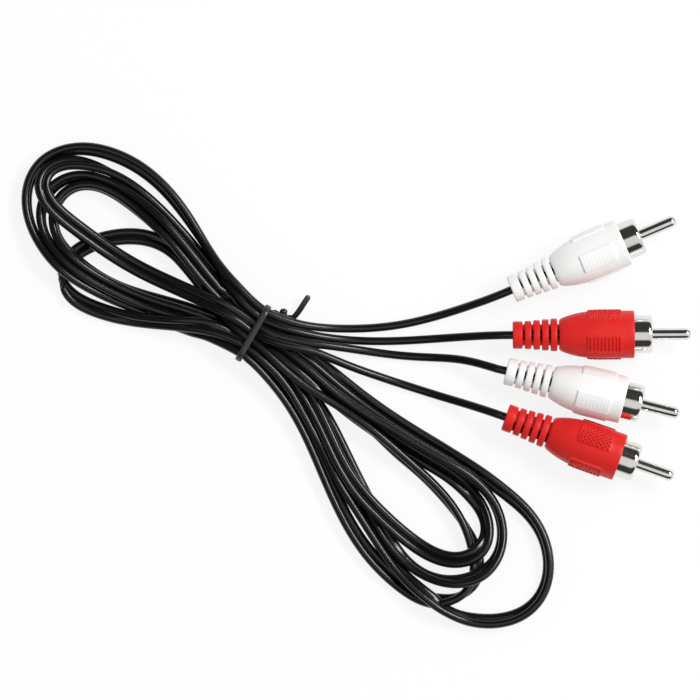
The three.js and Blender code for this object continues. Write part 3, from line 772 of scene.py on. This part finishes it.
def add_web(shell, start, side):
    """Core of the strain relief in one slot, on one side of the window."""
    opening = math.asin(SLOT_WIDTH / 2 / CORE_RADIUS)
    turns = np.linspace(opening, math.pi - opening, 15)
    outline = [(side * CORE_RADIUS * math.sin(a), CORE_RADIUS * math.cos(a)) for a in turns]
    outline += [(side * BORE_RADIUS * math.sin(a), BORE_RADIUS * math.cos(a)) for a in turns[::-1]]
    reach = RING_ROUNDING
    ends = (start - reach, start + SLOT_LENGTH + reach)
    rows = [[(along, y, z) for y, z in outline] for along in ends]
    shell.add_rows(rows, False, caps=True)


def moulding_object(plug, material):
    shell = Shell()
    shell.add_turned(ring_profile(COLLAR_RADIUS, 0, COLLAR_LENGTH), RELIEF_SIDES)
    for k in range(RING_COUNT):
        share = k / (RING_COUNT - 1)
        radius = FIRST_RING_RADIUS + share * (LAST_RING_RADIUS - FIRST_RING_RADIUS)
        start = COLLAR_LENGTH + SLOT_LENGTH + k * RING_PITCH
        shell.add_turned(ring_profile(radius, start, RING_LENGTH), RELIEF_SIDES)
    for k in range(RING_COUNT + 1):
        for side in (-1, 1):
            add_web(shell, COLLAR_LENGTH + k * RING_PITCH, side)
    add_body(shell, PAD_FLOOR[plug["colour"]])
    item = shell.object(plug["name"] + "_moulding", plug_matrix(plug), smooth_angle=50)
    item.data.materials.append(material)
    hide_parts(plug["name"] + "_body")
    return item


def sleeve_object(plug, material):
    nose = []
    for k in range(ROUND_STEPS + 1):
        turn = math.pi / 2 * k / ROUND_STEPS
        nose.append((NOSE_RADIUS - LIP_EDGE + (SLEEVE_RADIUS - NOSE_RADIUS + LIP_EDGE) * math.cos(turn),
                     SLEEVE_FRONT - NOSE_LENGTH + NOSE_LENGTH * math.sin(turn)))
    profile = [(SLEEVE_BORE, SLEEVE_REAR), (SLEEVE_RADIUS, SLEEVE_REAR)] + nose + [
        (NOSE_LIP + LIP_EDGE / 2, SLEEVE_FRONT),
        (NOSE_LIP, SLEEVE_FRONT - LIP_EDGE),
        (NOSE_LIP, SLEEVE_FRONT - LIP_DEPTH),
        (SLEEVE_BORE, SLEEVE_FRONT - NOSE_LENGTH),
    ]
    shell = Shell()
    shell.add_turned(profile, SLEEVE_SIDES)
    item = shell.object(plug["name"] + "_shell", plug_matrix(plug))
    item.data.materials.append(material)
    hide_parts(plug["name"] + "_sleeve")
    return item


def insulator_object(plug, material):
    back = INSULATOR_FRONT - PIN_FLANGE_LENGTH - FIT
    profile = rounded([
        (PIN_RADIUS + FIT, INSULATOR_REAR),
        (INSULATOR_RADIUS, INSULATOR_REAR),
        (INSULATOR_RADIUS, INSULATOR_FRONT),
        (PIN_FLANGE_RADIUS + FIT, INSULATOR_FRONT),
        (PIN_FLANGE_RADIUS + FIT, back),
        (PIN_RADIUS + FIT, back),
    ], INSULATOR_ROUNDING)
    shell = Shell()
    shell.add_turned(profile, RELIEF_SIDES)
    item = shell.object(plug["name"] + "_spacer", plug_matrix(plug))
    item.data.materials.append(material)
    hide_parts(plug["name"] + "_insulator")
    return item


def pin_object(plug, material):
    profile = [
        (PIN_CUP_RADIUS * 0.4, PIN_REAR + PIN_CUP_DEPTH),
        (PIN_CUP_RADIUS, PIN_REAR + PIN_CUP_DEPTH),
        (PIN_CUP_RADIUS, PIN_REAR),
        (PIN_RADIUS, PIN_REAR),
        (PIN_RADIUS, INSULATOR_FRONT - PIN_FLANGE_LENGTH),
        (PIN_FLANGE_RADIUS, INSULATOR_FRONT - PIN_FLANGE_LENGTH),
        (PIN_FLANGE_RADIUS, INSULATOR_FRONT),
        (PIN_RADIUS, INSULATOR_FRONT),
        (PIN_RADIUS, PIN_TIP - PIN_TIP_LENGTH),
    ]
    for k in range(1, ROUND_STEPS + 1):
        turn = math.pi / 2 * k / ROUND_STEPS
        profile.append((PIN_TIP_RADIUS + (PIN_RADIUS - PIN_TIP_RADIUS) * math.cos(turn),
                        PIN_TIP - PIN_TIP_LENGTH * (1 - math.sin(turn))))
    profile.append((PIN_TIP_RADIUS * 0.3, PIN_TIP))
    shell = Shell()
    shell.add_turned(profile, PIN_SIDES, closed=False)
    item = shell.object(plug["name"] + "_contact_pin", plug_matrix(plug))
    item.data.materials.append(material)
    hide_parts(plug["name"] + "_pin")
    return item


# Tie

TIE_WIDTH = 1.7
TIE_THICKNESS = 0.6
WAIST_HALF = 7.1
WAIST_TOP = 7.0
WAIST_EDGE = 2.2
WAIST_SLACK = 0.4
STRAP_SIDES = 24
STRAP_SQUARENESS = 0.85
WIRE_RADIUS = 0.45
TWIST_TURNS = 1.5
TWIST_STEPS = 24
TWIST_RADIUS = 0.36
RIBBON_SIDES = 14
RIBBON_SPACING = 0.25
STUB_RADIUS = 0.9
STUB_FLAT = 1.15
TAIL_FLAT = 1.7
TAIL_TURN = 2.2
TWIST_START = (-51.2, 10.5)
TWIST_END = (-45, 8.5)
STUB_ROUTE = [(-47, 9.5, 0.8), (-47, 10, 2.2), (-46.9, 10.2, 3.9)]
TAIL_ROUTE = [
    (-45.5, 8.4, 0.8), (-44.4, 8.6, 1), (-43.1, 10, 1.6),
    (-41.7, 12.1, 2.4), (-40.7, 13.6, 2.7), (-40.1, 14.2, 2.6),
]


def oblong(half, low, high, corner, steps=10):
    """Points of a rounded oblong, across the tie and up."""
    centres = [(half - corner, low + corner, -90), (half - corner, high - corner, 0),
               (corner - half, high - corner, 90), (corner - half, low + corner, 180)]
    out = []
    for across, height, first in centres:
        for k in range(steps + 1):
            turn = math.radians(first + 90 * k / steps)
            out.append((across + corner * math.cos(turn), height + corner * math.sin(turn)))
    return out


def add_strap(shell):
    """Strap of an oval section, a little loose round the waist."""
    section = []
    for k in range(STRAP_SIDES):
        turn = 2 * math.pi * k / STRAP_SIDES
        wide = math.copysign(abs(math.cos(turn)) ** STRAP_SQUARENESS, math.cos(turn)) * TIE_WIDTH / 2
        section.append((wide, math.sin(turn) * (TIE_THICKNESS / 2)))
    middle = FIT + TIE_THICKNESS / 2
    half = WAIST_HALF + WAIST_SLACK + middle
    loop = oblong(half, TIE_THICKNESS / 2, WAIST_TOP + middle, WAIST_EDGE + middle)
    count = len(loop)
    rows = []
    for i, (across, height) in enumerate(loop):
        before, after = np.array(loop[i - 1]), np.array(loop[(i + 1) % count])
        heading = (after - before) / np.linalg.norm(after - before)
        out = (heading[1], -heading[0])
        row = []
        for wide, thick in section:
            place = across - WAIST_SLACK / 2 + thick * out[0]
            row.append(tie_point(wide, place, height + thick * out[1]))
        rows.append(row)
    shell.add_rows(rows, True)


def add_ribbon(shell, route, radius, flat=1.0, turn=0.0):
    """Coated wire along a route: round, or a flat ribbon about its wire."""
    points = respaced(spline(route), RIBBON_SPACING)
    tangent = np.gradient(points, axis=0)
    tangent /= np.linalg.norm(tangent, axis=1)[:, None]
    side = np.array([math.cos(turn), math.sin(turn), 0.3])
    rows = []
    for i, point in enumerate(points):
        side = side - tangent[i] * (side @ tangent[i])
        side /= np.linalg.norm(side)
        other = np.cross(tangent[i], side)
        end = min(1.0, 0.35 + min(i, len(points) - 1 - i) * 0.4)
        row = []
        for k in range(RIBBON_SIDES):
            angle = 2 * math.pi * k / RIBBON_SIDES
            out = flat * math.cos(angle) * side + math.sin(angle) / flat * other
            row.append(tuple(point + end * radius * out))
        rows.append(row)
    shell.add_rows(rows, False, caps=True)


def twist_route(phase):
    """One of the two wires that are twisted together beside the waist."""
    start = np.array([TWIST_START[0], TWIST_START[1], 2 * TWIST_RADIUS])
    end = np.array([TWIST_END[0], TWIST_END[1], 2 * TWIST_RADIUS])
    along = (end - start) / np.linalg.norm(end - start)
    side = np.array([-along[1], along[0], 0])
    up = np.array([0, 0, 1.0])
    route = []
    for k in range(TWIST_STEPS + 1):
        share = k / TWIST_STEPS
        turn = 2 * math.pi * TWIST_TURNS * share + phase
        offset = TWIST_RADIUS * (side * math.cos(turn) + up * math.sin(turn))
        route.append(tuple(start + (end - start) * share + offset))
    return route


def tie_object(material):
    shell = Shell()
    add_strap(shell)
    for phase in (0, math.pi):
        add_ribbon(shell, twist_route(phase), TWIST_RADIUS)
    add_ribbon(shell, STUB_ROUTE, STUB_RADIUS, flat=STUB_FLAT)
    add_ribbon(shell, TAIL_ROUTE, WIRE_RADIUS, flat=TAIL_FLAT, turn=TAIL_TURN)
    item = shell.object("coated_wire_tie", smooth_angle=50)
    item.data.materials.append(material)
    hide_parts("wire_tie")
    return item


# Materials

PLASTIC_CLOUDS = 120
PLASTIC_GRAIN = 0.35
METAL_CLOUDS = 260
METAL_LINE_DEPTH = 0.00002
METAL_LINES = 0.06


def material_base(name, colour, roughness, metallic=0.0, specular=0.5):
    material = bpy.data.materials.new(name)
    material.use_nodes = True
    shader = material.node_tree.nodes["Principled BSDF"]
    shader.inputs["Base Color"].default_value = (*colour, 1)
    shader.inputs["Roughness"].default_value = roughness
    shader.inputs["Metallic"].default_value = metallic
    shader.inputs["Specular IOR Level"].default_value = specular
    return material, shader


def noise_of(tree, vector, scale, detail=4.0):
    noise = tree.nodes.new("ShaderNodeTexNoise")
    noise.inputs["Scale"].default_value = scale
    noise.inputs["Detail"].default_value = detail
    tree.links.new(vector, noise.inputs["Vector"])
    return noise.outputs["Fac"]


def ramp_of(tree, value, stops):
    ramp = tree.nodes.new("ShaderNodeValToRGB")
    for k, (place, colour) in enumerate(stops):
        ramp.color_ramp.elements[k].position = place
        ramp.color_ramp.elements[k].color = (*colour, 1)
    tree.links.new(value, ramp.inputs["Fac"])
    return ramp.outputs["Color"]


def range_of(tree, value, low, high):
    """A value from 0 to 1 turned into one between two limits."""
    node = tree.nodes.new("ShaderNodeMapRange")
    node.inputs["To Min"].default_value = low
    node.inputs["To Max"].default_value = high
    tree.links.new(value, node.inputs["Value"])
    return node.outputs["Result"]


def bump_of(tree, shader, value, distance, strength):
    bump = tree.nodes.new("ShaderNodeBump")
    bump.inputs["Strength"].default_value = strength
    bump.inputs["Distance"].default_value = distance
    tree.links.new(value, bump.inputs["Height"])
    tree.links.new(bump.outputs["Normal"], shader.inputs["Normal"])


def plastic(name, dark, light, roughness, grain, bump, specular=0.5):
    """Moulded plastic: slow colour variation, and a fine grain in its gloss and surface."""
    material, shader = material_base(name, light, roughness[0], specular=specular)
    tree = material.node_tree
    vector = tree.nodes.new("ShaderNodeTexCoord").outputs["Object"]
    clouds = noise_of(tree, vector, PLASTIC_CLOUDS)
    colour = ramp_of(tree, clouds, [(0.3, dark), (0.7, light)])
    tree.links.new(colour, shader.inputs["Base Color"])
    fine = noise_of(tree, vector, grain, 5)
    tree.links.new(range_of(tree, fine, *roughness), shader.inputs["Roughness"])
    bump_of(tree, shader, fine, bump, PLASTIC_GRAIN)
    return material


def metal(name, dark, light, roughness, grain):
    """Plated metal: faint stains in its colour, and fine lines left by the polishing."""
    material, shader = material_base(name, light, roughness[0], metallic=1.0)
    tree = material.node_tree
    vector = tree.nodes.new("ShaderNodeTexCoord").outputs["Object"]
    clouds = noise_of(tree, vector, METAL_CLOUDS)
    colour = ramp_of(tree, clouds, [(0.35, dark), (0.65, light)])
    tree.links.new(colour, shader.inputs["Base Color"])
    fine = noise_of(tree, vector, grain, 6)
    tree.links.new(range_of(tree, fine, *roughness), shader.inputs["Roughness"])
    bump_of(tree, shader, fine, METAL_LINE_DEPTH, METAL_LINES)
    return material


# Stage

FLOOR_REACH = 1500.0
FLOOR_COLOUR = (0.9, 0.9, 0.9, 1)
FLOOR_GLOW = 0.86
FILL = 0.61
DARK_ROOM = 0.05
CAMERA_X = -29.5
CAMERA_HEIGHT = 2500.0
VIEW_WIDTH = 184.2
SENSOR = 36.0

# In metres, as the scene is
CAMERA_REACH = 20
KEY_PLACE = (0.74, 0.36, 0.93)
KEY_AIM = (-0.03, 0, 0)
KEY_SIZE = (0.7, 0.28)
KEY_POWER = 11.0

# Edges of the white screen and of the horizon on each axis, from dark to white
SCREEN_LEFT = (-0.4, -0.16)
SCREEN_TOP = (0.26, 0.12)
SCREEN_BOTTOM = (-0.64, -0.52)
HORIZON = (0.24, 0.08)


def add_camera():
    data = bpy.data.cameras.new("camera")
    data.sensor_width = SENSOR
    data.lens = SENSOR * CAMERA_HEIGHT / VIEW_WIDTH
    data.clip_end = CAMERA_REACH
    camera = bpy.data.objects.new("camera", data)
    camera.location = (CAMERA_X * MM, 0, CAMERA_HEIGHT * MM)
    bpy.context.scene.collection.objects.link(camera)
    bpy.context.scene.camera = camera


def add_lamp(name, place, aim, size, power):
    data = bpy.data.lights.new(name, "AREA")
    data.shape = "RECTANGLE"
    data.size, data.size_y = size
    data.energy = power
    lamp = bpy.data.objects.new(name, data)
    lamp.location = place
    direction = Vector(aim) - Vector(place)
    lamp.rotation_euler = direction.to_track_quat("-Z", "Y").to_euler()
    bpy.context.scene.collection.objects.link(lamp)


def combined(tree, operation, first, second):
    node = tree.nodes.new("ShaderNodeMath")
    node.operation = operation
    tree.links.new(first, node.inputs[0])
    tree.links.new(second, node.inputs[1])
    return node.outputs[0]


def seen_directly(tree):
    """1 for camera, mirror and glass rays, and 0 for the rays that only carry light."""
    path = tree.nodes.new("ShaderNodeLightPath")
    seen = combined(tree, "MAXIMUM", path.outputs["Is Camera Ray"], path.outputs["Is Glossy Ray"])
    return combined(tree, "MAXIMUM", seen, path.outputs["Is Transmission Ray"])


def add_floor():
    """White table, which glows where it is seen directly."""
    shell = Shell()
    corners = [(-1, -1), (1, -1), (1, 1), (-1, 1)]
    shell.add([(FLOOR_REACH * x, FLOOR_REACH * y, 0) for x, y in corners], [(0, 1, 2, 3)])
    floor = shell.object("floor")
    material = bpy.data.materials.new("floor")
    material.use_nodes = True
    tree = material.node_tree
    tree.nodes.clear()
    output = tree.nodes.new("ShaderNodeOutputMaterial")
    diffuse = tree.nodes.new("ShaderNodeBsdfDiffuse")
    diffuse.inputs["Color"].default_value = FLOOR_COLOUR
    glow = tree.nodes.new("ShaderNodeEmission")
    glow.inputs["Color"].default_value = (1, 1, 1, 1)
    glow.inputs["Strength"].default_value = 1.0
    mix = tree.nodes.new("ShaderNodeMixShader")
    share = tree.nodes.new("ShaderNodeMath")
    share.operation = "MULTIPLY"
    share.inputs[1].default_value = FLOOR_GLOW
    tree.links.new(seen_directly(tree), share.inputs[0])
    tree.links.new(share.outputs[0], mix.inputs[0])
    tree.links.new(diffuse.outputs[0], mix.inputs[1])
    tree.links.new(glow.outputs[0], mix.inputs[2])
    tree.links.new(mix.outputs[0], output.inputs["Surface"])
    floor.data.materials.append(material)


def fade_of(tree, value, start, end):
    """0 at the start value and 1 at the end value, held beyond them."""
    node = tree.nodes.new("ShaderNodeMapRange")
    node.inputs["From Min"].default_value = start
    node.inputs["From Max"].default_value = end
    tree.links.new(value, node.inputs["Value"])
    return node.outputs["Result"]


def add_world():
    """Even fill for the surfaces. Seen directly: a white horizon, and a white screen overhead
    towards +X and -Y in a dark room."""
    world = bpy.data.worlds.new("studio")
    world.use_nodes = True
    bpy.context.scene.world = world
    tree = world.node_tree
    tree.nodes.clear()
    output = tree.nodes.new("ShaderNodeOutputWorld")
    fill = tree.nodes.new("ShaderNodeBackground")
    fill.inputs["Color"].default_value = (1, 1, 1, 1)
    fill.inputs["Strength"].default_value = FILL
    coordinates = tree.nodes.new("ShaderNodeTexCoord")
    split = tree.nodes.new("ShaderNodeSeparateXYZ")
    tree.links.new(coordinates.outputs["Generated"], split.inputs[0])
    x, y, z = (split.outputs[axis] for axis in "XYZ")
    screen = combined(tree, "MULTIPLY", fade_of(tree, x, *SCREEN_LEFT), fade_of(tree, y, *SCREEN_TOP))
    screen = combined(tree, "MULTIPLY", screen, fade_of(tree, y, *SCREEN_BOTTOM))
    room = tree.nodes.new("ShaderNodeBackground")
    level = combined(tree, "MAXIMUM", screen, fade_of(tree, z, *HORIZON))
    tree.links.new(range_of(tree, level, DARK_ROOM, 1.0), room.inputs["Strength"])
    mix = tree.nodes.new("ShaderNodeMixShader")
    tree.links.new(seen_directly(tree), mix.inputs[0])
    tree.links.new(fill.outputs[0], mix.inputs[1])
    tree.links.new(room.outputs[0], mix.inputs[2])
    tree.links.new(mix.outputs[0], output.inputs["Surface"])


add_camera()
add_floor()
add_world()
add_lamp("key", KEY_PLACE, KEY_AIM, KEY_SIZE, KEY_POWER)
bpy.context.scene.view_settings.view_transform = "Standard"

cord_black = plastic(
    "cord_black", (0.003, 0.003, 0.003), (0.006, 0.006, 0.006), (0.19, 0.25), 1500, 0.000006)
white_plastic = plastic(
    "white_plastic", (0.82, 0.82, 0.81), (0.88, 0.88, 0.87), (0.34, 0.46), 2200, 0.00003)
red_plastic = plastic(
    "red_plastic", (0.63, 0.007, 0.005), (0.7, 0.012, 0.009), (0.36, 0.48), 2200, 0.00003,
    specular=0.36)
tie_plastic = plastic(
    "tie_plastic", (0.02, 0.02, 0.021), (0.032, 0.032, 0.034), (0.22, 0.32), 1800, 0.00004)
nylon = plastic("nylon", (0.72, 0.7, 0.65), (0.78, 0.76, 0.71), (0.4, 0.5), 1600, 0.00003)
nickel = metal("nickel", (0.78, 0.76, 0.73), (0.84, 0.82, 0.79), (0.06, 0.13), 900)
copper = metal("copper", (0.6, 0.33, 0.2), (0.72, 0.45, 0.27), (0.28, 0.42), 900)

cord_pieces = build_cords(cord_black)
mouldings = {"white": white_plastic, "red": red_plastic}
for plug in PLUGS:
    made = {
        "moulding": moulding_object(plug, mouldings[plug["colour"]]),
        "shell": sleeve_object(plug, nickel),
        "spacer": insulator_object(plug, nylon),
        "pin": pin_object(plug, nickel),
    }
    for item in made.values():
        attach(item, "root")
    for wire in ("_core_wire", "_screen_wire"):
        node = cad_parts[plug["name"] + wire]
        node.data.materials.clear()
        node.data.materials.append(copper)

tie = tie_object(tie_plastic)
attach(tie, "root")

for colour, first, last, lobe in (("white", 0, 2, "left_lobe"), ("red", 1, 3, "right_lobe")):
    piece, path = cord_pieces[colour]
    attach(piece, "root")
    single_1, single_2 = (PLUGS[k]["name"].replace("plug", "cord") for k in (first, last))
    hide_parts(single_1, single_2, lobe)
